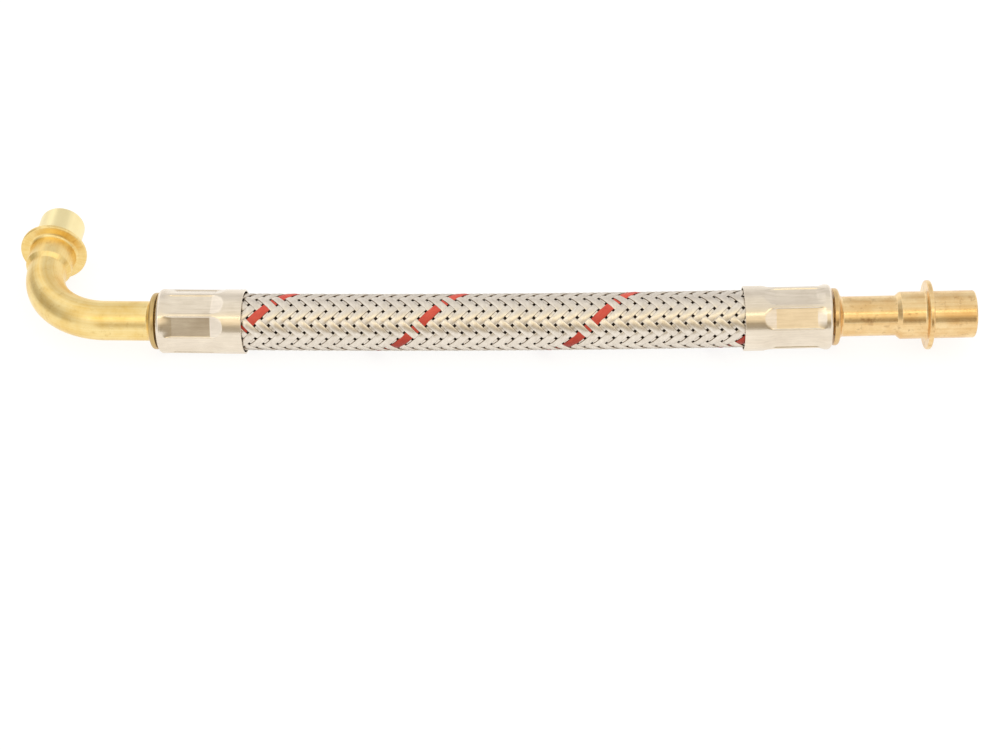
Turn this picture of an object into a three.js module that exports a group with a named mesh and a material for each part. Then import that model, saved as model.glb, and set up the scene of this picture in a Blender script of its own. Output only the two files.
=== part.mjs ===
// Braided hose for a boiler's expansion vessel: a rubber liner in a woven stainless sleeve, with a
// bent brass fitting crimped on at one end and a straight one at the other.
// Millimetres, +Z up. The hose runs along X, and the bent fitting, at its -X end, points along +Y.
import * as THREE from 'three';

// Hose. It isn't quite straight: its free part keeps a slight turn towards the bent fitting's side.
const hoseLength = 169; // between the two collars
const hoseTurn = THREE.MathUtils.degToRad(2.6); // from one ferrule's mouth to the other
const braidOuter = 14.4;
const braidWall = 0.65;
const braidPressedWall = 0.4; // where a ferrule grips it
const hoseClearance = 0.35; // between the braid and the liner
const tailClearance = 0.3; // between the liner and the barbs
const linerEndGap = 1.3; // from a collar to the liner's end
const braidEndGap = 1.6; // from a collar to the braid's end
const neckLength = 1.6; // over which the hose narrows under a ferrule
const hoseSides = 24;

// Weave: flat bands of wire cross at 45 degrees, each over two and under two
const bandsEachWay = 12;
const bandPitch = 3.63; // between like crossings along the hose
const bandSideDepth = 0.24; // valley between two bands side by side
const bandEndDepth = 0.13; // where a band dives under the next one
const weaveHoleDepth = 0.5; // pit where four bands meet
const weaveUnderLip = 0.6; // how far the weave shows inside a ferrule's mouth
const weaveShift = 1.9; // along the hose, from its middle
const weaveTurn = THREE.MathUtils.degToRad(27.2);

// Fittings, turned from brass bar and bored through
const turnedSides = 28;
const tubeOuter = 10;
const waterBore = 8;
const tailBore = 6.4;
const boreStepLength = 0.8;
const tailLength = 19;
const tailNose = 1.5; // plain end ahead of the first barb
const barbCrest = 9;
const barbRoot = 8.2;
const barbCount = 4;
const barbPitch = 3.6;
const collarDiameter = 14.3;
const collarRim = 1.2;
const collarLength = 1.8; // from the hose side to the foot of its sloped back
const collarEdge = 0.25;
const collarFillet = 0.5;
const shoulderDiameter = 11.8;
const shoulderLength = 7.4; // with its chamfer
const shoulderChamfer = 1.1;
const flangeDiameter = 17.3;
const flangeThickness = 1.2;
const flangeEdge = 0.25;
const flangeFillet = 0.8; // between the shoulder and the flange
const spigotDiameter = 11.8;
const spigotLength = 11;
const spigotChamfer = 0.5;
const boreChamfer = 0.4;
const straightLeg = 13.8; // from the collar to the shoulder
const elbowFirstLeg = 11.6; // from the collar to the bend
const elbowSecondLeg = 0.4; // from the bend to the shoulder
const bendRadius = 19.4;
const bendAngle = THREE.MathUtils.degToRad(90);
const bendSteps = 9;

// Ferrules: thin drawn cups, pressed on to the hose by eight jaws
const ferruleLength = 21.7;
const ferruleWall = 0.45;
const mouthClearance = 0.5; // round the hose in a ferrule's mouth
const pressedClearance = 0.35; // between a ferrule's flats and the braid
const ferruleCorner = 0.9;
const ferruleLip = 0.2;
const ferruleCollarGap = 0.5;
const ferruleHoleClearance = 0.35; // round the fitting's tail
const flatCount = 8;
const flatDepth = 0.75;
const flatWidth = 5.3;
const flatStart = 1.5;
const flatLength = 15.4; // with both ramps
const flatRampIn = 2.1;
const flatRampOut = 2.8;
const elbowFerruleTurn = THREE.MathUtils.degToRad(-16);
const straightFerruleTurn = THREE.MathUtils.degToRad(6.5);

// Each piece fits round or inside the one before it
const linerBore = barbCrest + 2 * tailClearance;
const braidInner = braidOuter - 2 * braidWall;
const linerOuter = braidInner - 2 * hoseClearance;
const ferruleDiameter = braidOuter + 2 * (mouthClearance + ferruleWall);
const acrossFlats = ferruleDiameter - 2 * flatDepth;
const braidPressedOuter = acrossFlats - 2 * (ferruleWall + pressedClearance);
const braidPressedInner = braidPressedOuter - 2 * braidPressedWall;
const linerPressedOuter = braidPressedInner - 2 * hoseClearance;

const brassYellow = new THREE.MeshStandardMaterial({ color: 0xd9b668, roughness: 0.28, metalness: 1 });
const brassTan = new THREE.MeshStandardMaterial({ color: 0xc99b62, roughness: 0.3, metalness: 1 });
const drawnSteel = new THREE.MeshStandardMaterial({ color: 0xd8ccbc, roughness: 0.32, metalness: 1 });
const braidedSteel = new THREE.MeshStandardMaterial({ color: 0xc9c0b4, roughness: 0.42, metalness: 1 });
const blackRubber = new THREE.MeshStandardMaterial({ color: 0x1c1b1a, roughness: 0.85, metalness: 0 });

const point = (radius, along) => new THREE.Vector2(radius, along);

// Where a point of a straight blank goes when the blank is bent towards +Y, in the plane of X and Y.
function bent(along, side, bend) {
  if (along <= bend.start) return { x: along, y: side };
  const angle = Math.min((along - bend.start) / bend.radius, bend.angle);
  const beyond = along - bend.start - bend.radius * angle;
  const reach = bend.radius - side;
  return {
    x: bend.start + reach * Math.sin(angle) + beyond * Math.cos(angle),
    y: bend.radius - reach * Math.cos(angle) + beyond * Math.sin(angle),
  };
}

// Moves each point of a geometry by a rule for its x and y.
function reshaped(geometry, rule) {
  const position = geometry.attributes.position;
  for (let i = 0; i < position.count; i += 1) {
    const moved = rule(position.getX(i), position.getY(i));
    position.setX(i, moved.x);
    position.setY(i, moved.y);
  }
  geometry.computeVertexNormals();
  return geometry;
}

// The hose's own slight bend, from its middle to a ferrule's mouth, alike on both sides.
const mouthAt = hoseLength / 2 - ferruleCollarGap - ferruleLength;
const hoseBend = { start: 0, radius: mouthAt / (hoseTurn / 2), angle: hoseTurn / 2 };

function alongHose(x, side) {
  const half = bent(Math.abs(x), side, hoseBend);
  return { x: Math.sign(x) * half.x, y: half.y };
}

// A solid of revolution about X from a closed outline of radius against distance along X.
function turned(outline, sides) {
  const geometry = new THREE.LatheGeometry([...outline, outline[0]], sides);
  return geometry.rotateZ(-Math.PI / 2);
}

// Outside of the barbed tail, from its tip to the collar at zero. Each barb rises away from the tip.
function tailOutline() {
  const points = [point(barbRoot / 2, -tailLength), point(barbRoot / 2, tailNose - tailLength)];
  for (let barb = 1; barb <= barbCount; barb += 1) {
    const crestAt = tailNose - tailLength + barb * barbPitch;
    points.push(point(barbCrest / 2, crestAt));
    if (barb < barbCount) points.push(point(barbRoot / 2, crestAt));
  }
  points.push(point(barbCrest / 2, 0));
  return points;
}

// A rim that stops the ferrule, with a back that slopes to the tube.
function collarOutline() {
  const radius = collarDiameter / 2;
  return [
    point(radius, 0),
    point(radius, collarRim - collarEdge),
    point(radius - collarEdge, collarRim),
    point(tubeOuter / 2 + collarFillet, collarLength),
    point(tubeOuter / 2, collarLength + collarFillet),
  ];
}

// Shoulder, flange and spigot, which are the same on both fittings. start is where the shoulder begins.
function headOutline(start) {
  const flangeStart = start + shoulderLength;
  const spigotStart = flangeStart + flangeThickness;
  const tip = spigotStart + spigotLength;
  const filletMid = flangeFillet * (1 - Math.SQRT1_2);
  return [
    point(tubeOuter / 2, start),
    point(shoulderDiameter / 2, start + shoulderChamfer),
    point(shoulderDiameter / 2, flangeStart - flangeFillet),
    point(shoulderDiameter / 2 + filletMid, flangeStart - filletMid),
    point(shoulderDiameter / 2 + flangeFillet, flangeStart),
    point(flangeDiameter / 2 - flangeEdge, flangeStart),
    point(flangeDiameter / 2, flangeStart + flangeEdge),
    point(flangeDiameter / 2, spigotStart - flangeEdge),
    point(flangeDiameter / 2 - flangeEdge, spigotStart),
    point(spigotDiameter / 2, spigotStart),
    point(spigotDiameter / 2, tip - spigotChamfer),
    point(spigotDiameter / 2 - spigotChamfer, tip),
    point(waterBore / 2 + boreChamfer, tip),
    point(waterBore / 2, tip - boreChamfer),
  ];
}

// One fitting as it leaves the lathe: distances run outwards from the collar's face on the hose side.
// stations are the extra rings that a bend needs.
function fittingBlank(legLength, stations) {
  const outside = stations.map((along) => point(tubeOuter / 2, along));
  const inside = stations.map((along) => point(waterBore / 2, along)).reverse();
  return turned(
    [
      point(tailBore / 2, -tailLength),
      ...tailOutline(),
      ...collarOutline(),
      ...outside,
      ...headOutline(collarLength + legLength),
      ...inside,
      point(waterBore / 2, boreStepLength),
      point(tailBore / 2, 0),
    ],
    turnedSides,
  );
}

const elbowBend = { start: collarLength + elbowFirstLeg, radius: bendRadius, angle: bendAngle };
const elbowArc = bendRadius * bendAngle;
const elbowLeg = elbowFirstLeg + elbowArc + elbowSecondLeg;

function elbowGeometry() {
  const stations = [];
  for (let step = 0; step <= bendSteps; step += 1) {
    stations.push(elbowBend.start + (elbowArc * step) / bendSteps);
  }
  return reshaped(fittingBlank(elbowLeg, stations), (x, y) => bent(x, y, elbowBend));
}

// Angles that the corners of a ferrule's ring take round one flat: the ridge before it, its two edges
// and its middle.
const flatPitch = (2 * Math.PI) / flatCount;
const flatHalfAngle = Math.atan(flatWidth / acrossFlats);
const ferruleCorners = [-flatPitch / 2, -flatHalfAngle, 0, flatHalfAngle];

// Share of the full press at a distance from the ferrule's closed end.
function pressShare(distance) {
  const rampedIn = (distance - flatStart) / flatRampIn;
  const rampedOut = (flatStart + flatLength - distance) / flatRampOut;
  return THREE.MathUtils.smoothstep(Math.min(rampedIn, rampedOut), 0, 1);
}

// The eight jaws press the round wall in to flats and leave a narrow ridge between each two.
function pressFlats(geometry) {
  const position = geometry.attributes.position;
  const perFlat = ferruleCorners.length;
  const step = flatPitch / perFlat;
  const radius = ferruleDiameter / 2;
  for (let i = 0; i < position.count; i += 1) {
    const corner = Math.round(Math.atan2(position.getY(i), position.getZ(i)) / step);
    const flat = Math.floor(corner / perFlat);
    const offFlat = ferruleCorners[corner - flat * perFlat];
    const isRidge = corner === flat * perFlat;
    const depth = isRidge ? 0 : radius - acrossFlats / 2 / Math.cos(offFlat);
    const pressed = Math.hypot(position.getY(i), position.getZ(i))
      - depth * pressShare(-ferruleCollarGap - position.getX(i));
    const angle = flatPitch * flat + offFlat;
    position.setY(i, pressed * Math.sin(angle));
    position.setZ(i, pressed * Math.cos(angle));
  }
  geometry.computeVertexNormals();
  return geometry;
}

// A drawn cup: its closed end, holed for the tail, is at the collar, and its mouth faces the hose.
function ferruleGeometry() {
  const radius = ferruleDiameter / 2;
  const inner = radius - ferruleWall;
  const hole = barbCrest / 2 + ferruleHoleClearance;
  const cornerMid = ferruleCorner * (1 - Math.SQRT1_2);
  const innerCorner = ferruleCorner - ferruleWall;
  const flatEnd = flatStart + flatLength;
  const rampsOutside = [0, 1 / 3, 2 / 3, 1];
  const rampsInside = [0, 1];
  const pressed = (wallRadius, shares) => [
    ...shares.map((share) => point(wallRadius, flatStart + share * flatRampIn)),
    ...shares.map((share) => point(wallRadius, flatEnd - (1 - share) * flatRampOut)),
  ];
  const outline = [
    point(hole, 0),
    point(radius - ferruleCorner, 0),
    point(radius - cornerMid, cornerMid),
    point(radius, ferruleCorner),
    ...pressed(radius, rampsOutside),
    point(radius, ferruleLength - ferruleLip),
    point(radius - ferruleLip, ferruleLength),
    point(inner, ferruleLength),
    ...pressed(inner, rampsInside).reverse(),
    point(inner - innerCorner, ferruleWall),
    point(hole, ferruleWall),
  ];
  const placed = outline.map(({ x, y }) => point(x, -ferruleCollarGap - y));
  return pressFlats(turned(placed.reverse(), flatCount * ferruleCorners.length));
}

// Distance from the hose's middle to where it starts and stops narrowing under a ferrule.
const neckIn = hoseLength / 2 - ferruleCollarGap - flatStart - flatLength;
const neckOut = neckIn - neckLength;

function linerGeometry() {
  const end = hoseLength / 2 - linerEndGap;
  const free = linerOuter / 2;
  const pressed = linerPressedOuter / 2;
  const geometry = turned(
    [
      point(linerBore / 2, -end),
      point(pressed, -end),
      point(pressed, -neckIn),
      point(free, -neckOut),
      ...[-0.5, 0, 0.5].map((share) => point(free, share * neckOut)),
      point(free, neckOut),
      point(pressed, neckIn),
      point(pressed, end),
      point(linerBore / 2, end),
      ...[0.5, 0, -0.5].map((share) => point(linerBore / 2, share * neckOut)),
    ],
    hoseSides,
  );
  return reshaped(geometry, alongHose);
}

// A wall round X from rings of radii, joined one to the next and the last to the first. Each ring's
// corners are a step apart, and a half ring is turned by half a step, as the weave's rows are.
function ringWall(rings, corners) {
  const step = (2 * Math.PI) / corners;
  const positions = [];
  const faces = [];
  rings.forEach((ring, index) => {
    const next = rings[(index + 1) % rings.length];
    const here = index * corners;
    const there = ((index + 1) % rings.length) * corners;
    for (let corner = 0; corner < corners; corner += 1) {
      const angle = weaveTurn + step * (corner + ring.half / 2);
      const radius = ring.radii[corner];
      positions.push(ring.x, radius * Math.cos(angle), radius * Math.sin(angle));
      const after = (corner + 1) % corners;
      const lead = ring.half > next.half ? after : corner;
      faces.push(here + corner, here + after, there + lead);
      if (lead === after) faces.push(here + corner, there + after, there + corner);
      else faces.push(here + after, there + after, there + corner);
    }
  });
  const geometry = new THREE.BufferGeometry();
  geometry.setAttribute('position', new THREE.Float32BufferAttribute(positions, 3));
  geometry.setIndex(faces);
  return geometry;
}

const even = (number) => number % 2 === 0;

// True where the band that rises with X lies on top, in the square between two crossing bands. The
// same family is on top all along the hose, two squares wide, and then the other one is.
const risingOnTop = (rising, falling) => (((rising - falling) % 4) + 4) % 4 < 2;

// Depth of the weave at a corner of its half-square grid. Even, even is the hole where four bands
// meet, odd, odd is the middle of a square, and the rest lie between two squares.
function weaveDepth(twiceRising, twiceFalling) {
  if (even(twiceRising) && even(twiceFalling)) return weaveHoleDepth;
  if (!even(twiceRising) && !even(twiceFalling)) return 0;
  const alongRising = even(twiceRising);
  const rising = Math.floor(twiceRising / 2);
  const falling = Math.floor(twiceFalling / 2);
  const first = alongRising ? risingOnTop(rising - 1, falling) : risingOnTop(rising, falling - 1);
  const second = risingOnTop(rising, falling);
  if (first !== second) return bandEndDepth;
  return first === alongRising ? 0 : bandSideDepth;
}

// The sleeve is one wall: woven where it shows, and plain where the ferrules hide and squeeze it.
function braidGeometry() {
  const corners = 2 * bandsEachWay;
  const rowPitch = bandPitch / 4;
  const end = hoseLength / 2 - braidEndGap;
  const weaveEnd = mouthAt + weaveUnderLip;
  const firstRow = Math.ceil((-weaveEnd - weaveShift) / rowPitch);
  const lastRow = Math.floor((weaveEnd - weaveShift) / rowPitch);
  const plain = (x, diameter) => ({ x, half: 0, radii: new Array(corners).fill(diameter / 2) });
  const hidden = braidOuter - 2 * bandSideDepth;
  const rings = [plain(-end, braidPressedOuter), plain(-neckIn, braidPressedOuter), plain(-neckOut, hidden)];
  for (let row = firstRow; row <= lastRow; row += 1) {
    const half = even(row) ? 0 : 1;
    const radii = [];
    for (let corner = 0; corner < corners; corner += 1) {
      const twiceFalling = -corner - (half - row) / 2;
      radii.push(braidOuter / 2 - weaveDepth(row - twiceFalling, twiceFalling));
    }
    rings.push({ x: weaveShift + row * rowPitch, half, radii });
  }
  rings.push(plain(neckOut, hidden), plain(neckIn, braidPressedOuter), plain(end, braidPressedOuter));
  rings.push(plain(end, braidPressedInner), plain(neckIn, braidPressedInner));
  for (const share of [1, 0.5, 0, -0.5, -1]) rings.push(plain(share * neckOut, braidInner));
  rings.push(plain(-neckIn, braidPressedInner), plain(-end, braidPressedInner));
  return reshaped(ringWall(rings, corners), alongHose);
}

function mesh(name, geometry, material) {
  const made = new THREE.Mesh(geometry, material);
  made.name = name;
  return made;
}

// A fitting with the ferrule that holds it, seen from the collar's face on the hose side. Both ends
// of the hose turn by half of its bend.
function hoseEnd(fitting, ferruleName, ferruleTurn) {
  const group = new THREE.Group();
  const ferrule = mesh(ferruleName, ferruleGeometry(), drawnSteel);
  ferrule.rotation.x = ferruleTurn;
  group.add(fitting, ferrule);
  group.rotation.z = hoseTurn / 2;
  return group;
}

const collarFace = alongHose(hoseLength / 2, 0);

const elbowFitting = mesh('elbow_fitting', elbowGeometry(), brassYellow);
const elbowEnd = hoseEnd(elbowFitting, 'elbow_ferrule', elbowFerruleTurn);
elbowEnd.rotation.y = Math.PI;
elbowEnd.position.set(-collarFace.x, collarFace.y, 0);

const straightFitting = mesh('straight_fitting', fittingBlank(straightLeg, []), brassTan);
const straightEnd = hoseEnd(straightFitting, 'straight_ferrule', straightFerruleTurn);
straightEnd.position.set(collarFace.x, collarFace.y, 0);

const pipe = new THREE.Group();
pipe.add(
  mesh('rubber_liner', linerGeometry(), blackRubber),
  mesh('wire_braid', braidGeometry(), braidedSteel),
  elbowEnd,
  straightEnd,
);
pipe.updateMatrixWorld(true);

// The lowest point of a rim, from its middle in the frame of one end of the hose.
function lowestOnRim(end, along, side, diameter) {
  const middle = end.localToWorld(new THREE.Vector3(along, side, 0));
  return middle.setZ(middle.z - diameter / 2);
}

// The pipe lies on three points: the rims of both flanges and the mouth of the elbow's ferrule. The
// plane through them turns the pipe to its rest.
const toFlangeMiddle = shoulderLength + flangeThickness / 2;
const elbowRim = bent(collarLength + elbowLeg + toFlangeMiddle, 0, elbowBend);
const floor = new THREE.Plane().setFromCoplanarPoints(
  lowestOnRim(straightEnd, collarLength + straightLeg + toFlangeMiddle, 0, flangeDiameter),
  lowestOnRim(elbowEnd, elbowRim.x, elbowRim.y, flangeDiameter),
  lowestOnRim(elbowEnd, -ferruleCollarGap - ferruleLength, 0, ferruleDiameter),
);
pipe.quaternion.setFromUnitVectors(floor.normal, new THREE.Vector3(0, 0, 1));

// The origin is under the middle of the pipe's box, on the surface it lies on.
pipe.updateMatrixWorld(true);
const bounds = new THREE.Box3().setFromObject(pipe, true);
const middle = bounds.getCenter(new THREE.Vector3());
pipe.position.set(-middle.x, -middle.y, -bounds.min.z);

const expansionVesselPipe = new THREE.Group();
expansionVesselPipe.add(pipe);

export default expansionVesselPipe;
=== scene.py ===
"""Looks for a braided expansion vessel pipe: brass fittings, crimped ferrules and a woven sleeve.

Lengths are in metres. Pieces are worked out in the pipe's own frame, where X runs along the hose from
its middle and Y is the way the bent fitting points, and a matrix then lays them where the CAD lies.
Both ends of the hose are made alike, in a frame that starts at the collar and points to the tip.
"""

import math

import bpy
import numpy as np
from mathutils import Matrix, Vector


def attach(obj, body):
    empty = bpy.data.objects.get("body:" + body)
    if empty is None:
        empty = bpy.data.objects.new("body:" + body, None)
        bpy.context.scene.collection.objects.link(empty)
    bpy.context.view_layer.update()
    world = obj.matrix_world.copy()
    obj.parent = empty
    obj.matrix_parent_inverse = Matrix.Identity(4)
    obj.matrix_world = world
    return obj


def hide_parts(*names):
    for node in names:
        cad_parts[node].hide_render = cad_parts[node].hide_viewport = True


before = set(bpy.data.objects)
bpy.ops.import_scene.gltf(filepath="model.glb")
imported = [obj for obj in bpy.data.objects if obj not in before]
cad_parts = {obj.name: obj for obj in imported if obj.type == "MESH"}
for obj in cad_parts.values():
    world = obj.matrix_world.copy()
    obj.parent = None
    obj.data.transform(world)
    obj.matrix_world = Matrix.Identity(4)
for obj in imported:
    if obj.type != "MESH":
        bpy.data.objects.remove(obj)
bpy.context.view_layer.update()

MM = 0.001
TAU = 2 * math.pi
BODY = "root"

# Hose
HOSE_LENGTH = 169 * MM
HOSE_TURN = math.radians(2.6)
BRAID_RADIUS = 7.2 * MM
LINER_END_GAP = 1.3 * MM

# Fittings
TAIL_LENGTH = 19 * MM
TAIL_RADIUS = 4.5 * MM
TAIL_ROOT = 4.1 * MM
TAIL_BORE = 3.2 * MM
TUBE_RADIUS = 5.0 * MM
WATER_BORE = 4.0 * MM
COLLAR_RADIUS = 7.15 * MM
COLLAR_RIM = 1.2 * MM
COLLAR_LENGTH = 1.8 * MM
COLLAR_FILLET = 0.5 * MM
COLLAR_CORNER = 1.2 * MM
SHOULDER_RADIUS = 5.9 * MM
SHOULDER_LENGTH = 7.4 * MM
SHOULDER_CHAMFER = 1.1 * MM
SHOULDER_CORNER = 0.8 * MM
FLANGE_RADIUS = 8.63 * MM
FLANGE_THICKNESS = 1.2 * MM
SPIGOT_RADIUS = 5.9 * MM
SPIGOT_LENGTH = 10.99 * MM
TIP_CHAMFER = 0.5 * MM
BORE_EDGE = 0.3 * MM
SOFT_EDGE = 0.35 * MM
FINE_EDGE = 0.12 * MM
STRAIGHT_LEG = 13.8 * MM
FIRST_LEG = 11.6 * MM
SECOND_LEG = 0.4 * MM
BEND_RADIUS = 19.4 * MM
BEND_ANGLE = math.radians(90)
TURNED_SIDES = 128
BEND_STEPS = 64

# Ferrules
FERRULE_LENGTH = 21.7 * MM
FERRULE_RADIUS = 8.13 * MM
FERRULE_WALL = 0.45 * MM
FERRULE_GAP = 0.5 * MM
FERRULE_CORNER = 0.9 * MM
MOUTH_OUTER_EDGE = 0.15 * MM
MOUTH_INNER_EDGE = 0.1 * MM
HOLE_CLEARANCE = 0.35 * MM
FLAT_APOTHEM = 7.4 * MM
FLAT_COUNT = 8
FLAT_HALF_WIDTH = 2.62 * MM
FLAT_STEP = 0.24 * MM
FLAT_START = 1.6 * MM
FLAT_END = 17.0 * MM
FLAT_RAMP_IN = 2.4 * MM
FLAT_RAMP_OUT = 3.1 * MM
FLAT_CORNER = 1.0 * MM
FERRULE_STEP = 0.17 * MM
LEFT_FLAT_TURN = math.radians(-16)
RIGHT_FLAT_TURN = math.radians(6.5)

# Angles round a ferrule: few over half a flat, and more over half a ridge. The last two values are how
# far short of the flat's side the few stop and the more start, in radians
FLAT_ANGLES = 6
RIDGE_ANGLES = 9
FLAT_ANGLES_STOP = 0.03
RIDGE_ANGLES_START = 0.012

# Weave
BANDS = 12
BAND_PITCH = 3.56 * MM
WEAVE_SHIFT = 1.47 * MM
WEAVE_TURN = math.radians(27.2)
BAND_SHARE = 0.74
TRACER_SHARE = 0.9
WIRES = 7
WIRE_RELIEF = 0.05 * MM
BAND_THICKNESS = 0.25 * MM
BAND_CROWN = 0.1 * MM
WEAVE_SOFTNESS = 0.3
WEAVE_STEPS_PER_SQUARE = 6
WEAVE_UNDER_LIP = 1.0 * MM
TRACER_BAND = 10

# Corners of outlines: the share of a run that an arc may take, and the half angle that needs no arc
LONGEST_REACH = 0.45
NEARLY_STRAIGHT = math.radians(89)

# Looks: painted shade round the middle of a collar's rim, painted light on the pale far end of the bent
# fitting, by the scene's Y, and the share of a band at each of its sides that is darkened as painted shade
RIM_MIDDLE = 0.75 * MM
RIM_SHADE_FULL = 0.7 * MM
RIM_SHADE_ENDS = 1.0 * MM
PALE_FROM = 13.4 * MM
PALE_FULL = 15.5 * MM
SPIGOT_LIGHT_SHARE = 0.72
EDGE_SHADE_WIDTH = 0.035


# Mesh helpers


def smooth_step(value):
    value = np.clip(value, 0, 1)
    return value * value * (3 - 2 * value)


def bent(grid, start, radius, angle):
    """The points of a straight blank after it is bent towards +Y."""
    along, side = grid[..., 0], grid[..., 1]
    turn = np.clip((along - start) / radius, 0, angle)
    beyond = np.maximum(along - start - radius * angle, 0)
    reach = radius - side
    moved = grid.copy()
    moved[..., 0] = np.minimum(along, start) + reach * np.sin(turn) + beyond * np.cos(turn)
    moved[..., 1] = radius - reach * np.cos(turn) + beyond * np.sin(turn)
    return moved


MOUTH_AT = HOSE_LENGTH / 2 - FERRULE_GAP - FERRULE_LENGTH


def bowed(grid):
    """The points of the straight hose after its own slight bend, which is alike on both sides."""
    side = np.sign(grid[..., :1])
    mirror = np.concatenate([side, np.ones_like(side), np.ones_like(side)], -1)
    return mirror * bent(mirror * grid, 0, MOUTH_AT / (HOSE_TURN / 2), HOSE_TURN / 2)


def along_hose(distance):
    """The point of the hose's centre line at a distance from its middle."""
    return bowed(np.array([distance, 0.0, 0.0]))


def end_turned(grid):
    """An end's points turned by its half of the hose's bend."""
    cosine, sine = math.cos(HOSE_TURN / 2), math.sin(HOSE_TURN / 2)
    return grid @ np.array([[cosine, sine, 0], [-sine, cosine, 0], [0, 0, 1]])


def to_straight_end(grid):
    """An end's points, laid at the straight fitting's end of the hose."""
    return end_turned(grid) + along_hose(HOSE_LENGTH / 2)


def to_elbow_end(grid):
    """An end's points, turned end for end about Y and laid at the bent fitting's end."""
    return end_turned(grid) * np.array([-1, 1, -1]) + along_hose(-HOSE_LENGTH / 2)


def rounded(outline, steps=5, support=0.2):
    """An open outline of (radius, along, corner radius) with its corners turned to arcs.

    A support point on each side of an arc keeps the shading of long straight runs even.
    """
    points = [np.array(p[:2], float) for p in outline]
    result = [points[0]]
    for i in range(1, len(points) - 1):
        here, fillet = points[i], outline[i][2]
        back, ahead = points[i - 1] - here, points[i + 1] - here
        back_length, ahead_length = np.linalg.norm(back), np.linalg.norm(ahead)
        back, ahead = back / back_length, ahead / ahead_length
        half = math.acos(np.clip(back @ ahead, -1, 1)) / 2
        if fillet == 0 or half > NEARLY_STRAIGHT:
            result.append(here)
            continue
        longest = LONGEST_REACH * min(back_length, ahead_length)
        reach = min(fillet / math.tan(half), longest)
        radius = reach * math.tan(half)
        middle = (back + ahead) / np.linalg.norm(back + ahead)
        centre = here + middle * radius / math.sin(half)
        start, end = here + back * reach, here + ahead * reach
        result.append(start + back * reach * support)
        spread = math.pi - 2 * half
        for k in range(steps + 1):
            turn = spread * k / steps
            from_start = (start - centre) * math.sin(spread - turn)
            from_end = (end - centre) * math.sin(turn)
            result.append(centre + (from_start + from_end) / math.sin(spread))
        result.append(end + ahead * reach * support)
    result.append(points[-1])
    return np.array(result)


def with_short_runs(outline, longest):
    """The outline with every run cut into pieces no longer than longest."""
    result = []
    for first, second in zip(outline[:-1], outline[1:]):
        count = max(1, math.ceil(np.linalg.norm(second - first) / longest))
        result.extend(first + (second - first) * k / count for k in range(count))
    result.append(outline[-1])
    return np.array(result)


def turned_grid(outline, angles):
    """Rings of points about X from an outline of (radius, along)."""
    radius, along = outline[:, :1], outline[:, 1:]
    spread = np.broadcast_to(along, (len(outline), len(angles)))
    return np.stack([spread, radius * np.cos(angles), radius * np.sin(angles)], -1)


def even_angles(count):
    return np.linspace(0, TAU, count, endpoint=False)


def grid_faces(rows, columns, wrap_rows):
    """Quads over a grid whose columns close on themselves, with places from 0 to 1 round and along."""
    row_count = rows if wrap_rows else rows - 1
    r, c = np.meshgrid(np.arange(row_count), np.arange(columns), indexing="ij")
    r_next, c_next = (r + 1) % rows, (c + 1) % columns
    quads = np.stack(
        [r * columns + c, r * columns + c_next, r_next * columns + c_next, r_next * columns + c], -1
    ).reshape(-1, 4)
    u = np.stack([c, c + 1, c + 1, c], -1).reshape(-1, 4) / columns
    v = np.stack([r, r, r + 1, r + 1], -1).reshape(-1, 4) / row_count
    return quads, u, v


def grid_mesh(name, grid):
    """A closed mesh over rings of points, whose last ring joins the first."""
    quads, u, v = grid_faces(*grid.shape[:2], True)
    return quads_mesh(name, grid.reshape(-1, 3), quads, u, v)


def quads_mesh(name, points, quads, u, v):
    """A smooth mesh of quads with places on it, from points in the pipe's frame."""
    world = to_scene(points)
    mesh = bpy.data.meshes.new(name)
    mesh.vertices.add(len(world))
    mesh.vertices.foreach_set("co", world.astype(np.float32).ravel())
    mesh.loops.add(quads.size)
    mesh.loops.foreach_set("vertex_index", quads.astype(np.int32).ravel())
    mesh.polygons.add(len(quads))
    mesh.polygons.foreach_set("loop_start", np.arange(0, quads.size, 4, dtype=np.int32))
    mesh.polygons.foreach_set("use_smooth", np.ones(len(quads), bool))
    layer = mesh.uv_layers.new(name="surface")
    places = np.stack([u.ravel(), v.ravel()], -1)
    layer.data.foreach_set("uv", places.astype(np.float32).ravel())
    mesh.update(calc_edges=True)
    mesh.validate()
    piece = bpy.data.objects.new(name, mesh)
    bpy.context.scene.collection.objects.link(piece)
    return piece


def dress(piece, material, replaced):
    """Gives a piece its material and body, and hides the node it stands for."""
    piece.data.materials.append(material)
    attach(piece, BODY)
    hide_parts(replaced)


# The pipe's frame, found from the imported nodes


def points_of(node):
    """A node's corners, each one once."""
    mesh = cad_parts[node].data
    flat = np.empty(len(mesh.vertices) * 3)
    mesh.vertices.foreach_get("co", flat)
    return np.unique(np.round(flat.reshape(-1, 3), 7), axis=0)


def ring_centre(points):
    """Middle of a ring of points, which is the middle of its box."""
    return (points.min(0) + points.max(0)) / 2


def pipe_frame():
    """From the middles of the liner's two ends, and the plane that the bent fitting lies in."""
    liner = points_of("rubber_liner")
    near_end = 0.4 * MM
    left = ring_centre(liner[liner[:, 0] < liner[:, 0].min() + near_end])
    right = ring_centre(liner[liner[:, 0] > liner[:, 0].max() - near_end])
    elbow = points_of("elbow_fitting")
    _, axes = np.linalg.eigh(np.cov((elbow - elbow.mean(0)).T))
    x_axis = (right - left) / np.linalg.norm(right - left)
    z_axis = axes[:, 0] * np.sign(axes[2, 0])
    y_axis = np.cross(z_axis, x_axis)
    y_axis /= np.linalg.norm(y_axis)
    z_axis = np.cross(x_axis, y_axis)
    sagitta = along_hose(HOSE_LENGTH / 2 - LINER_END_GAP)[1]
    matrix = np.eye(4)
    matrix[:3, 0], matrix[:3, 1], matrix[:3, 2] = x_axis, y_axis, z_axis
    matrix[:3, 3] = (left + right) / 2 - sagitta * y_axis
    return matrix


PIPE = pipe_frame()


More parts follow.
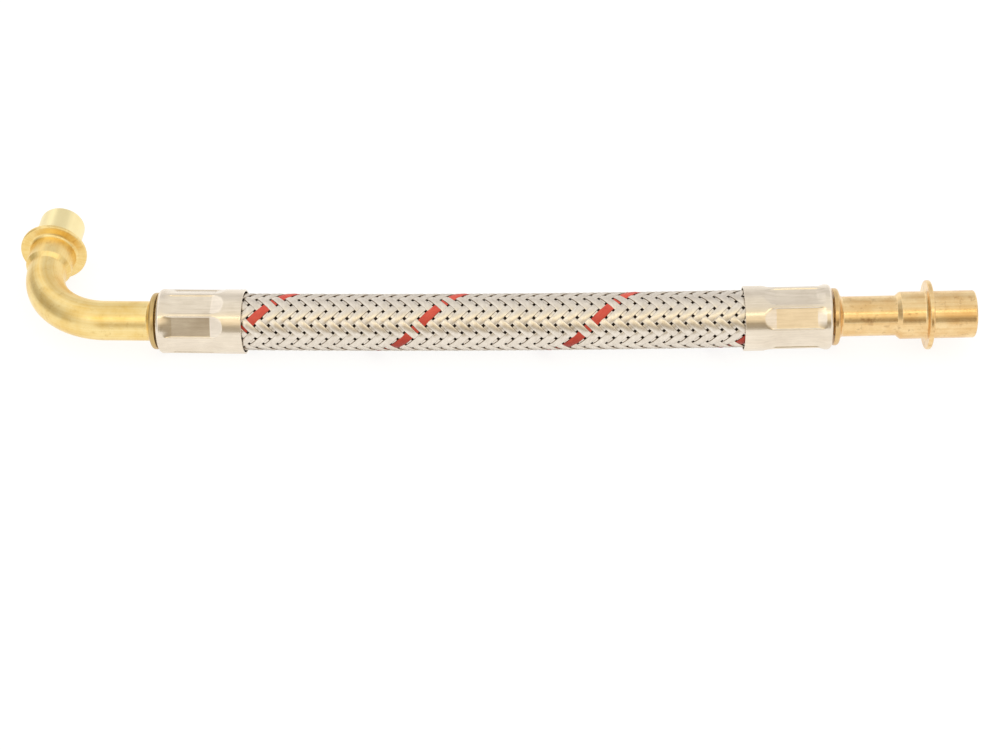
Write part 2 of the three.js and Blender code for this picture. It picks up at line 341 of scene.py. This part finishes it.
def to_scene(points):
    """Points of the pipe's frame, laid where the CAD lies."""
    return points @ PIPE[:3, :3].T + PIPE[:3, 3]


# Material helpers


def colour_ramp(tree, factor, stops):
    """The outputs of a colour ramp over (position, colour with alpha) stops."""
    ramp = tree.nodes.new("ShaderNodeValToRGB")
    elements = ramp.color_ramp.elements
    while len(elements) < len(stops):
        elements.new(0.5)
    for element, (position, values) in zip(elements, stops):
        element.position = position
        element.color = values
    tree.links.new(factor, ramp.inputs["Fac"])
    return ramp.outputs


def math_node(tree, operation, *values):
    """A Math node whose values are plain numbers or other nodes' outputs."""
    made = tree.nodes.new("ShaderNodeMath")
    made.operation = operation
    for socket, value in zip(made.inputs, values):
        if isinstance(value, bpy.types.NodeSocket):
            tree.links.new(value, socket)
        else:
            socket.default_value = value
    return made.outputs[0]


class Shader:
    """A node material around one Principled shader, with short calls to add its nodes."""

    def __init__(self, name, **sockets):
        self.material = bpy.data.materials.new(name)
        self.material.use_nodes = True
        self.tree = self.material.node_tree
        self.shader = self.tree.nodes["Principled BSDF"]
        for socket, value in sockets.items():
            self.shader.inputs[socket.replace("_", " ")].default_value = value

    def node(self, kind, settings=None, **sockets):
        made = self.tree.nodes.new(kind)
        for key, value in (settings or {}).items():
            setattr(made, key, value)
        for socket, value in sockets.items():
            self.feed(made.inputs[socket.replace("_", " ")], value)
        return made

    def feed(self, socket, value):
        if isinstance(value, bpy.types.NodeSocket):
            self.tree.links.new(value, socket)
        else:
            socket.default_value = value

    def place(self, scale=(1, 1, 1)):
        """Object coordinates, stretched by scale."""
        source = self.node("ShaderNodeTexCoord").outputs["Object"]
        return self.node("ShaderNodeMapping", Vector=source, Scale=scale).outputs["Vector"]

    def surface(self, scale=(1, 1, 1)):
        """Coordinates that run round and along a turned or woven piece."""
        source = self.node("ShaderNodeUVMap", {"uv_map": "surface"}).outputs["UV"]
        return self.node("ShaderNodeMapping", Vector=source, Scale=scale).outputs["Vector"]

    def noise(self, vector, scale, detail=3.0, roughness=0.5):
        return self.node(
            "ShaderNodeTexNoise", Vector=vector, Scale=scale, Detail=detail, Roughness=roughness
        ).outputs["Fac"]

    def ramp(self, value, stops):
        """A colour ramp from (position, colour) stops."""
        solid = [(position, (*tint, 1)) for position, tint in stops]
        return colour_ramp(self.tree, value, solid)["Color"]

    def between(self, value, low, high):
        """value from 0..1 mapped to low..high."""
        return self.node(
            "ShaderNodeMapRange", Value=value, To_Min=low, To_Max=high
        ).outputs["Result"]

    def rise(self, value, begins, full, top):
        """0 where value is at begins, top where it is at full, and even between."""
        return self.node(
            "ShaderNodeMapRange", Value=value, From_Min=begins, From_Max=full, To_Max=top
        ).outputs["Result"]

    def part_of(self, vector, axis):
        return self.node("ShaderNodeSeparateXYZ", Vector=vector).outputs[axis]

    def maths(self, operation, *values):
        return math_node(self.tree, operation, *values)

    def mix(self, factor, first, second, kind="MIX"):
        made = self.node("ShaderNodeMix", {"data_type": "RGBA", "blend_type": kind})
        self.feed(made.inputs[0], factor)
        self.feed(made.inputs[6], first)
        self.feed(made.inputs[7], second)
        return made.outputs[2]

    def bump(self, height, distance, strength=1.0, normal=None):
        made = self.node("ShaderNodeBump", Height=height, Distance=distance, Strength=strength)
        if normal is not None:
            self.feed(made.inputs["Normal"], normal)
        return made.outputs["Normal"]

    def finish(self, colour=None, roughness=None, normal=None):
        for socket, value in (("Base Color", colour), ("Roughness", roughness), ("Normal", normal)):
            if value is not None:
                self.feed(self.shader.inputs[socket], value)
        return self.material


def colour(red, green, blue):
    """A screen colour of 0 to 255 as the linear values that a shader takes."""
    def linear(value):
        share = value / 255
        return share / 12.92 if share <= 0.04045 else ((share + 0.055) / 1.055) ** 2.4
    return (linear(red), linear(green), linear(blue))


def brass(name, pale, deep, stain, stain_share, roughness, collar, far_end=None):
    """Brass: lengthwise rub marks, soft clouds and small stains, with painted shade and painted light.

    collar is painted shade on the collar's rim, for the darker reflection there: its colour, its share and
    its middle on the scene's X.
    far_end is a paler colour painted on the spigot as painted light, and where on the scene's Y it begins
    and is full.
    """
    s = Shader(name, Metallic=1.0)
    streaks = s.noise(s.surface((60, 3, 1)), 1.0, 4.0, 0.6)
    clouds = s.noise(s.place(), 180, 4.0, 0.6)
    spots = s.noise(s.place(), 520, 4.0, 0.7)
    body = s.ramp(s.mix(0.4, clouds, streaks), [(0.36, deep), (0.62, pale)])
    tarnish = s.ramp(spots, [(0.56, (0, 0, 0)), (0.8, (stain_share,) * 3)])
    tint = s.mix(tarnish, body, (*stain, 1))
    # Painted light: the spigot is painted paler towards its tip, for the brighter light it catches.
    if far_end:
        lit_end_colour, begins, full = far_end
        across = s.part_of(s.place(), "Y")
        tint = s.mix(s.rise(across, begins, full, SPIGOT_LIGHT_SHARE), tint, (*lit_end_colour, 1))
    # Painted shade: the collar's rim is darkened round its middle, for the darker reflection its sloping
    # rim shows.
    rim_shade_colour, rim_shade_share, rim_at = collar
    off_rim = s.maths("ABSOLUTE", s.maths("SUBTRACT", s.part_of(s.place(), "X"), rim_at))
    tint = s.mix(s.rise(off_rim, RIM_SHADE_ENDS, RIM_SHADE_FULL, rim_shade_share), tint, (*rim_shade_colour, 1))
    rough = s.between(s.mix(0.5, streaks, clouds), roughness - 0.06, roughness + 0.08)
    normal = s.bump(streaks, 0.004 * MM)
    normal = s.bump(clouds, 0.02 * MM, 0.5, normal=normal)
    return s.finish(tint, rough, normal)


def drawn_steel():
    """Satin drawn stainless: pale warm grey, with lengthwise draw marks and soft handling marks."""
    s = Shader("drawn_steel", Metallic=1.0)
    marks = s.noise(s.surface((160, 5, 1)), 1.0, 4.0, 0.65)
    clouds = s.noise(s.place(), 160, 4.0, 0.6)
    body = s.ramp(
        s.mix(0.5, marks, clouds), [(0.35, colour(225, 211, 191)), (0.65, colour(245, 233, 214))]
    )
    rough = s.between(s.mix(0.6, marks, clouds), 0.16, 0.3)
    normal = s.bump(marks, 0.005 * MM)
    normal = s.bump(clouds, 0.03 * MM, 0.5, normal=normal)
    return s.finish(body, rough, normal)


def band_edges(s, body):
    """body darkened on a band's sides with painted shade, for the shadow between the bands.

    The whole part of U is a band's number. The rest of it runs over the top and then underneath.
    """
    share = s.maths("FRACT", s.part_of(s.surface(), "X"))
    top = (2 * WIRES) / (2 * WIRES + 3)
    unshaded, edge_shade = (1.0, 1.0, 1.0), (0.36, 0.3, 0.24)
    # Painted shade: each band's sides and underside are painted dark, for the shadow between the bands.
    stops = [(0.0, edge_shade), (EDGE_SHADE_WIDTH, unshaded), (top - EDGE_SHADE_WIDTH, unshaded), (top, edge_shade), (1.0, edge_shade)]
    return s.mix(1.0, body, s.ramp(share, stops), "MULTIPLY")


def braid_steel():
    """Bright stainless wire, each band a little lighter or darker than the next, with painted shade at its
    sides.
    """
    s = Shader("braided_steel", Metallic=1.0)
    bands = s.noise(s.surface((1, 60, 1)), 3.0, 2.0, 0.5)
    clouds = s.noise(s.place(), 330, 3.0, 0.6)
    grain = s.noise(s.surface((70, 900, 1)), 1.0, 2.0, 0.5)
    body = s.ramp(
        s.mix(0.5, bands, clouds), [(0.3, colour(217, 206, 191)), (0.7, colour(246, 237, 224))]
    )
    rough = s.between(clouds, 0.27, 0.4)
    return s.finish(band_edges(s, body), rough, s.bump(grain, 0.005 * MM))


def tracer_red():
    """Red strands: satin, slightly uneven, paler where they are worn, with painted shade at the band's
    sides.
    """
    s = Shader("tracer_red", Metallic=0.0)
    strands = s.noise(s.surface((34, 60, 1)), 1.0, 3.0, 0.6)
    clouds = s.noise(s.place(), 420, 3.0, 0.6)
    body = s.ramp(
        s.mix(0.5, strands, clouds), [(0.3, colour(204, 54, 38)), (0.7, colour(238, 98, 74))]
    )
    rough = s.between(strands, 0.32, 0.5)
    return s.finish(band_edges(s, body), rough, s.bump(strands, 0.012 * MM))


def black_rubber():
    """Matt rubber with a fine moulded grain."""
    s = Shader("black_rubber", Metallic=0.0)
    grain = s.noise(s.place(), 2600, 3.0, 0.6)
    body = s.ramp(grain, [(0.3, colour(66, 53, 43)), (0.7, colour(92, 74, 60))])
    return s.finish(body, s.between(grain, 0.7, 0.9), s.bump(grain, 0.02 * MM))


# Fittings


def rim_on_x(place):
    """Where on the scene's X the middle of an end's collar rim lies."""
    return to_scene(place(np.array([RIM_MIDDLE, 0, 0])))[0]


def fitting_outline(leg):
    """Outside and bore of a fitting, from its tail's tip, against distance from the collar's face."""
    head = COLLAR_LENGTH + leg
    flange = head + SHOULDER_LENGTH
    spigot = flange + FLANGE_THICKNESS
    tip = spigot + SPIGOT_LENGTH
    return [
        (TAIL_BORE, -TAIL_LENGTH, 0),
        (TAIL_ROOT, -TAIL_LENGTH, FINE_EDGE),
        (TAIL_RADIUS, -TAIL_LENGTH / 2, FINE_EDGE),
        (TAIL_RADIUS, 0, FINE_EDGE),
        (COLLAR_RADIUS, 0, FINE_EDGE),
        (COLLAR_RADIUS, COLLAR_RIM, COLLAR_CORNER),
        (TUBE_RADIUS + COLLAR_FILLET, COLLAR_LENGTH, SOFT_EDGE),
        (TUBE_RADIUS, COLLAR_LENGTH + COLLAR_FILLET, SOFT_EDGE),
        (TUBE_RADIUS, head, SOFT_EDGE),
        (SHOULDER_RADIUS, head + SHOULDER_CHAMFER, SOFT_EDGE),
        (SHOULDER_RADIUS, flange, SHOULDER_CORNER),
        (FLANGE_RADIUS, flange, SOFT_EDGE),
        (FLANGE_RADIUS, spigot, SOFT_EDGE),
        (SPIGOT_RADIUS, spigot, FINE_EDGE),
        (SPIGOT_RADIUS, tip, TIP_CHAMFER),
        (WATER_BORE, tip, BORE_EDGE),
        (WATER_BORE, COLLAR_LENGTH, 0),
        (TAIL_BORE, 0, FINE_EDGE),
        (TAIL_BORE, -TAIL_LENGTH, 0),
    ]


def with_stations(outline, low, high, steps):
    """The outline with its straight runs between low and high cut in steps, for a bend."""
    no_span = 1e-9
    off_ends = 0.001
    result = []
    for first, second in zip(outline[:-1], outline[1:]):
        result.append(first)
        span = second[1] - first[1]
        if abs(span) < no_span:
            continue
        shares = sorted((station - first[1]) / span for station in np.linspace(low, high, steps + 1))
        inner = [share for share in shares if off_ends < share < 1 - off_ends]
        result.extend(first + (second - first) * share for share in inner)
    result.append(outline[-1])
    return np.array(result)


def straight_fitting():
    outline = rounded(fitting_outline(STRAIGHT_LEG))[:-1]
    grid = turned_grid(outline, even_angles(TURNED_SIDES))
    return grid_mesh("straight_fitting_fine", to_straight_end(grid))


def elbow_fitting():
    arc = BEND_RADIUS * BEND_ANGLE
    start = COLLAR_LENGTH + FIRST_LEG
    outline = rounded(fitting_outline(FIRST_LEG + arc + SECOND_LEG))
    outline = with_stations(outline, start, start + arc, BEND_STEPS)[:-1]
    grid = turned_grid(outline, even_angles(TURNED_SIDES))
    return grid_mesh("elbow_fitting_fine", to_elbow_end(bent(grid, start, BEND_RADIUS, BEND_ANGLE)))


# Ferrules


def ferrule_outline():
    """A drawn cup's outside from its hole to its mouth, then its inside back, as (radius, along)."""
    hole = TAIL_RADIUS + HOLE_CLEARANCE
    inside = FERRULE_RADIUS - FERRULE_WALL
    outline = [
        (hole, 0, 0),
        (FERRULE_RADIUS, 0, FERRULE_CORNER),
        (FERRULE_RADIUS, FERRULE_LENGTH, MOUTH_OUTER_EDGE),
        (inside, FERRULE_LENGTH, MOUTH_INNER_EDGE),
        (inside, FERRULE_WALL, FERRULE_CORNER - FERRULE_WALL),
        (hole, FERRULE_WALL, 0),
    ]
    return with_short_runs(rounded(outline, steps=8), FERRULE_STEP)


def ferrule_angles():
    """Angles round a ferrule, close together at the sides of its flats."""
    half_pitch = TAU / FLAT_COUNT / 2
    side = math.atan(FLAT_HALF_WIDTH / FLAT_APOTHEM)
    wide = np.linspace(0, side - FLAT_ANGLES_STOP, FLAT_ANGLES)
    close = np.linspace(side - RIDGE_ANGLES_START, half_pitch, RIDGE_ANGLES)
    half = np.concatenate([wide, close])
    one = np.concatenate([-half[-2:0:-1], half])
    return (np.arange(FLAT_COUNT)[:, None] * TAU / FLAT_COUNT + one).ravel()


def corner_cut(off_middle, radius):
    """How far a corner's arc cuts in along a flat, at a distance across from the flat's middle."""
    into = np.clip(np.abs(off_middle) - (FLAT_HALF_WIDTH - radius), 0, radius)
    return radius - np.sqrt(radius**2 - into**2)


def pressed(grid, angles):
    """Eight jaws press the cup's wall in to flats, with a narrow ridge left between each two.

    Each flat has rounded corners at the closed end and a round end at the mouth, and slopes down to
    its floor at both.
    """
    along = grid[..., 0]
    radius = np.hypot(grid[..., 1], grid[..., 2])
    pitch = TAU / FLAT_COUNT
    off_flat = (angles + pitch / 2) % pitch - pitch / 2
    off_middle = FLAT_APOTHEM * np.tan(off_flat)
    start = FLAT_START + corner_cut(off_middle, FLAT_CORNER)
    end = FLAT_END - corner_cut(off_middle, FLAT_HALF_WIDTH)
    floor_start = FLAT_START + FLAT_RAMP_IN
    floor_end = FLAT_END - FLAT_RAMP_OUT
    down = np.clip((along - start) / (floor_start - start), 0, 1)
    up = np.clip((end - along) / (end - floor_end), 0, 1)
    share = np.minimum(down, up)
    side = smooth_step((FLAT_HALF_WIDTH + FLAT_STEP / 2 - np.abs(off_middle)) / FLAT_STEP)
    depth = FERRULE_RADIUS - FLAT_APOTHEM / np.cos(off_flat)
    moved = grid.copy()
    moved[..., 1:] *= (1 - depth * side * share / radius)[..., None]
    return moved


def ferrule(name, turn, place):
    """A crimped cup, closed end at the collar, with its flats turned by an angle."""
    angles = ferrule_angles()
    outline = ferrule_outline()
    level = pressed(turned_grid(outline, angles), angles)
    radius = np.hypot(level[..., 1], level[..., 2])
    along = -FERRULE_GAP - level[..., 0]
    grid = np.stack([along, radius * np.cos(angles + turn), radius * np.sin(angles + turn)], -1)
    return grid_mesh(name, place(grid)[::-1])


# Sleeve


def family_on_top(rising, falling):
    """1 where the band that rises with X lies on top, -1 where the falling one does, eased between."""
    def step(cell_rising, cell_falling):
        return np.where(np.mod(cell_rising - cell_falling, 4) < 2, 1.0, -1.0)

    base_rising, base_falling = np.floor(rising), np.floor(falling)
    total = step(base_rising, base_falling)
    for value, base, change in (
        (rising, base_rising, lambda side: step(base_rising + side, base_falling)),
        (falling, base_falling, lambda side: step(base_rising, base_falling + side)),
    ):
        share = value - base
        side = np.where(share < 0.5, -1.0, 1.0)
        distance = np.minimum(share, 1 - share)
        near = 0.5 * (1 - smooth_step(distance / WEAVE_SOFTNESS))
        total = total * (1 - near) + change(side) * near
    return total


def band_section():
    """Places across a band, -0.5 to 0.5, with the height of its wires, then the flat underside."""
    wires = np.linspace(-0.5, 0.5, 2 * WIRES + 1)
    ridge = np.where(np.arange(len(wires)) % 2 == 1, WIRE_RELIEF, 0.0)
    crown = BAND_CROWN * (1 - (2 * wires) ** 2)
    top = np.stack([wires, ridge + crown], -1)
    under = np.array([[0.5, -BAND_THICKNESS], [-0.5, -BAND_THICKNESS]])
    return np.vstack([top, under])


def woven_bands(name, rises, chosen, share=BAND_SHARE):
    """Some bands of one family: flat ribbons of parallel wires, over two and under two."""
    end = MOUTH_AT + WEAVE_UNDER_LIP
    length = 2 * end
    squares = 2 * length / BAND_PITCH
    stations = np.linspace(-end, end, int(squares * WEAVE_STEPS_PER_SQUARE) + 1)[:, None]
    section = band_section()
    quads, u, v = grid_faces(len(stations), len(section), False)
    grids, all_quads, all_u = [], [], []
    for count, band in enumerate(chosen):
        own = band + 0.5 + share * section[:, 0] + 0 * stations
        other = 2 * (stations - WEAVE_SHIFT) / BAND_PITCH - own
        rising, falling = (other, own) if rises else (own, other)
        on_top = family_on_top(rising, falling) * (1 if rises else -1)
        middle = BRAID_RADIUS - BAND_THICKNESS / 2 - WIRE_RELIEF - BAND_CROWN
        radius = middle + on_top * BAND_THICKNESS / 2 + section[:, 1]
        angle = WEAVE_TURN + (rising - falling) * math.pi / BANDS
        along = np.broadcast_to(stations, radius.shape)
        grid = np.stack([along, radius * np.cos(angle), radius * np.sin(angle)], -1)
        grids.append(bowed(grid).reshape(-1, 3))
        all_quads.append(quads + count * len(grids[0]))
        all_u.append(u + band)
    all_quads, all_u, all_v = np.vstack(all_quads), np.vstack(all_u), np.tile(v, (len(grids), 1))
    if rises:
        all_quads, all_u, all_v = all_quads[:, ::-1], all_u[:, ::-1], all_v[:, ::-1]
    return quads_mesh(name, np.vstack(grids), all_quads, all_u, all_v)


# Build

YELLOW_BRASS = brass(
    "brass_yellow",
    pale=colour(252, 228, 163),
    deep=colour(238, 201, 119),
    stain=colour(206, 168, 96),
    stain_share=0.6,
    roughness=0.32,
    collar=(colour(196, 166, 112), 0.85, rim_on_x(to_elbow_end)),
    far_end=(colour(255, 242, 190), PALE_FROM, PALE_FULL),
)
TAN_BRASS = brass(
    "brass_tan",
    pale=colour(250, 222, 170),
    deep=colour(230, 188, 127),
    stain=colour(172, 124, 76),
    stain_share=0.95,
    roughness=0.24,
    collar=(colour(206, 170, 118), 0.5, rim_on_x(to_straight_end)),
)
STEEL = drawn_steel()
WIRE = braid_steel()
RED = tracer_red()

dress(elbow_fitting(), YELLOW_BRASS, "elbow_fitting")
dress(straight_fitting(), TAN_BRASS, "straight_fitting")
LEFT_FERRULE = ferrule("elbow_ferrule_fine", LEFT_FLAT_TURN, to_elbow_end)
dress(LEFT_FERRULE, STEEL, "elbow_ferrule")
RIGHT_FERRULE = ferrule("straight_ferrule_fine", RIGHT_FLAT_TURN, to_straight_end)
dress(RIGHT_FERRULE, STEEL, "straight_ferrule")
ALL_BANDS = range(BANDS)
PLAIN_FALLING = [band for band in ALL_BANDS if band != TRACER_BAND]
dress(woven_bands("braid_rising", True, ALL_BANDS), WIRE, "wire_braid")
dress(woven_bands("braid_falling", False, PLAIN_FALLING), WIRE, "wire_braid")
TRACER = woven_bands("braid_tracer", False, [TRACER_BAND], TRACER_SHARE)
dress(TRACER, RED, "wire_braid")

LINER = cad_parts["rubber_liner"]
LINER.data.materials.clear()
LINER.data.materials.append(black_rubber())


# Camera, from the photo's view

PHOTO_WIDTH = 1000
FOCAL_PIXELS = 2118.1
SENSOR = 36.0
CAMERA_TURN = math.radians(3.0708)
CAMERA_ELEVATION = math.radians(40.3)
CAMERA_ROLL = math.radians(2.1691)
CAMERA_DISTANCE = 530.556 * MM
AIM_RIGHT = -4.834
AIM_DOWN = -53.2225
CLIP_START = 0.01


def add_camera():
    """Looks down at the pipe from the front, a little rolled, with the pipe above the picture's middle."""
    turn = Matrix.Rotation(CAMERA_TURN, 3, "Z")
    forward = turn @ Vector((0, math.cos(CAMERA_ELEVATION), -math.sin(CAMERA_ELEVATION)))
    up = turn @ Vector((0, math.sin(CAMERA_ELEVATION), math.cos(CAMERA_ELEVATION)))
    right = turn @ Vector((1, 0, 0))
    aim = Vector(PIPE[:3, 3])
    per_pixel = CAMERA_DISTANCE / FOCAL_PIXELS
    place = aim - right * AIM_RIGHT * per_pixel + up * AIM_DOWN * per_pixel
    place = place - forward * CAMERA_DISTANCE
    rolled_right = right * math.cos(CAMERA_ROLL) - up * math.sin(CAMERA_ROLL)
    rolled_up = right * math.sin(CAMERA_ROLL) + up * math.cos(CAMERA_ROLL)
    matrix = Matrix((rolled_right, rolled_up, -forward)).transposed().to_4x4()
    matrix.translation = place
    data = bpy.data.cameras.new("photo_camera")
    data.sensor_width = SENSOR
    data.lens = FOCAL_PIXELS * SENSOR / PHOTO_WIDTH
    data.clip_start = CLIP_START
    camera = bpy.data.objects.new("photo_camera", data)
    camera.matrix_world = matrix
    bpy.context.scene.collection.objects.link(camera)
    bpy.context.scene.camera = camera
    return aim


AIM = add_camera()


# Floor, light and background

FLOOR_SIZE = 6.0
FLOOR_GLOW = 0.84
FLOOR_WHITE = 0.24

# Brightness and tint of the studio by angle in degrees about the hose: 0 is the horizon in front, 90 is
# straight up and 180 is the horizon behind. The tent is open in front, where it is darker.
STUDIO = [
    (-180, 1.0, (1.0, 1.0, 1.0)),
    (-170, 0.8, (1.0, 0.99, 0.98)),
    (-12, 0.6, (1.0, 0.95, 0.88)),
    (0, 0.42, (1.0, 0.88, 0.7)),
    (21, 0.41, (1.0, 0.85, 0.6)),
    (29, 0.9, (1.0, 0.86, 0.64)),
    (35, 1.12, (1.0, 0.86, 0.62)),
    (50, 1.04, (1.0, 0.9, 0.7)),
    (64, 0.96, (1.0, 0.96, 0.84)),
    (80, 0.9, (1.0, 0.98, 0.93)),
    (112, 0.92, (1.0, 0.99, 0.96)),
    (130, 0.76, (1.0, 0.99, 0.99)),
    (150, 0.76, (1.0, 0.99, 0.99)),
    (168, 1.0, (1.0, 1.0, 1.0)),
    (180, 1.0, (1.0, 1.0, 1.0)),
]

# Brightness, tint and weight of the studio's two sides by the X of a direction, laid over STUDIO.
SIDES = [
    (-1.0, 0.46, (1.0, 0.94, 0.8), 1),
    (-0.86, 0.52, (1.0, 0.94, 0.8), 1),
    (-0.66, 0.95, (0.98, 0.98, 1.0), 1),
    (-0.42, 1.24, (0.97, 0.98, 1.0), 1),
    (-0.26, 1.24, (0.97, 0.98, 1.0), 0),
    (0.42, 1.15, (0.98, 0.98, 1.0), 0),
    (0.6, 1.15, (0.98, 0.98, 1.0), 1),
    (0.85, 0.8, (1.0, 0.97, 0.92), 1),
    (1.0, 0.8, (1.0, 0.97, 0.92), 1),
]
STUDIO_PEAK = 1.3

KEY_DIRECTION = (0.05, -0.6, 0.8)
KEY_DISTANCE = 0.9
KEY_SIZE = (1.5, 0.05)
KEY_POWER = 0.5
KEY_TINT = (1.0, 0.93, 0.66)


def add_floor():
    """A plain white floor. What looks at it, straight or in a reflection, sees some glow as well."""
    half = FLOOR_SIZE / 2
    mesh = bpy.data.meshes.new("floor")
    mesh.from_pydata(
        [(-half, -half, 0), (half, -half, 0), (half, half, 0), (-half, half, 0)], [], [(0, 1, 2, 3)]
    )
    floor = bpy.data.objects.new("floor", mesh)
    bpy.context.scene.collection.objects.link(floor)
    material = bpy.data.materials.new("floor_white")
    material.use_nodes = True
    tree = material.node_tree
    tree.nodes.clear()
    output = tree.nodes.new("ShaderNodeOutputMaterial")
    diffuse = tree.nodes.new("ShaderNodeBsdfDiffuse")
    diffuse.inputs["Color"].default_value = (FLOOR_WHITE, FLOOR_WHITE, FLOOR_WHITE, 1)
    glow = tree.nodes.new("ShaderNodeEmission")
    glow.inputs["Color"].default_value = (1, 1, 1, 1)
    tree.links.new(seen_directly(tree, FLOOR_GLOW), glow.inputs["Strength"])
    both = tree.nodes.new("ShaderNodeAddShader")
    tree.links.new(diffuse.outputs[0], both.inputs[0])
    tree.links.new(glow.outputs[0], both.inputs[1])
    tree.links.new(both.outputs[0], output.inputs["Surface"])
    floor.data.materials.append(material)


def seen_directly(tree, strength):
    """strength for camera, glossy and transmission rays, and 0 for the rest."""
    path = tree.nodes.new("ShaderNodeLightPath")
    seen = path.outputs["Is Camera Ray"]
    for name in ("Is Glossy Ray", "Is Transmission Ray"):
        seen = math_node(tree, "MAXIMUM", seen, path.outputs[name])
    return math_node(tree, "MULTIPLY", seen, strength)


def studio_stop(position, level, tint, weight=1):
    """A ramp's stop of a brightness, as a share of STUDIO_PEAK, and a weight as its alpha."""
    return position, (*(level * part / STUDIO_PEAK for part in tint), weight)


def add_world():
    """Soft light from all round, as STUDIO says, and plain white where it is seen."""
    world = bpy.data.worlds.new("studio")
    bpy.context.scene.world = world
    world.use_nodes = True
    tree = world.node_tree
    tree.nodes.clear()
    output = tree.nodes.new("ShaderNodeOutputWorld")
    lit = tree.nodes.new("ShaderNodeBackground")
    seen = tree.nodes.new("ShaderNodeBackground")
    seen.inputs["Color"].default_value = (1, 1, 1, 1)
    seen.inputs["Strength"].default_value = 1.0
    place = tree.nodes.new("ShaderNodeTexCoord")
    split = tree.nodes.new("ShaderNodeSeparateXYZ")
    tree.links.new(place.outputs["Generated"], split.inputs[0])
    ahead = math_node(tree, "MULTIPLY", split.outputs["Y"], -1.0)
    angle = math_node(tree, "ARCTAN2", split.outputs["Z"], ahead)
    share = math_node(tree, "MULTIPLY_ADD", angle, 1 / TAU, 0.5)
    round_hose = [studio_stop((degrees + 180) / 360, *light) for degrees, *light in STUDIO]
    base = colour_ramp(tree, share, round_hose)
    sideways = math_node(tree, "MULTIPLY_ADD", split.outputs["X"], 0.5, 0.5)
    sides = colour_ramp(tree, sideways, [studio_stop((x + 1) / 2, *light) for x, *light in SIDES])
    both = tree.nodes.new("ShaderNodeMix")
    both.data_type = "RGBA"
    tree.links.new(sides["Alpha"], both.inputs[0])
    tree.links.new(base["Color"], both.inputs[6])
    tree.links.new(sides["Color"], both.inputs[7])
    tree.links.new(both.outputs[2], lit.inputs["Color"])
    lit.inputs["Strength"].default_value = STUDIO_PEAK
    path = tree.nodes.new("ShaderNodeLightPath")
    mix = tree.nodes.new("ShaderNodeMixShader")
    tree.links.new(path.outputs["Is Camera Ray"], mix.inputs[0])
    tree.links.new(lit.outputs[0], mix.inputs[1])
    tree.links.new(seen.outputs[0], mix.inputs[2])
    tree.links.new(mix.outputs[0], output.inputs["Surface"])


def add_key_light():
    """A long, narrow lamp along the hose, which draws the bright line on it."""
    data = bpy.data.lights.new("key", "AREA")
    data.shape = "RECTANGLE"
    data.size, data.size_y = KEY_SIZE
    data.energy = KEY_POWER
    data.color = KEY_TINT
    lamp = bpy.data.objects.new("key", data)
    toward = Vector(KEY_DIRECTION).normalized()
    lamp.location = AIM + toward * KEY_DISTANCE
    lamp.rotation_euler = toward.to_track_quat("Z", "Y").to_euler()
    bpy.context.scene.collection.objects.link(lamp)


add_floor()
add_world()
add_key_light()

bpy.context.scene.view_settings.view_transform = "Standard"
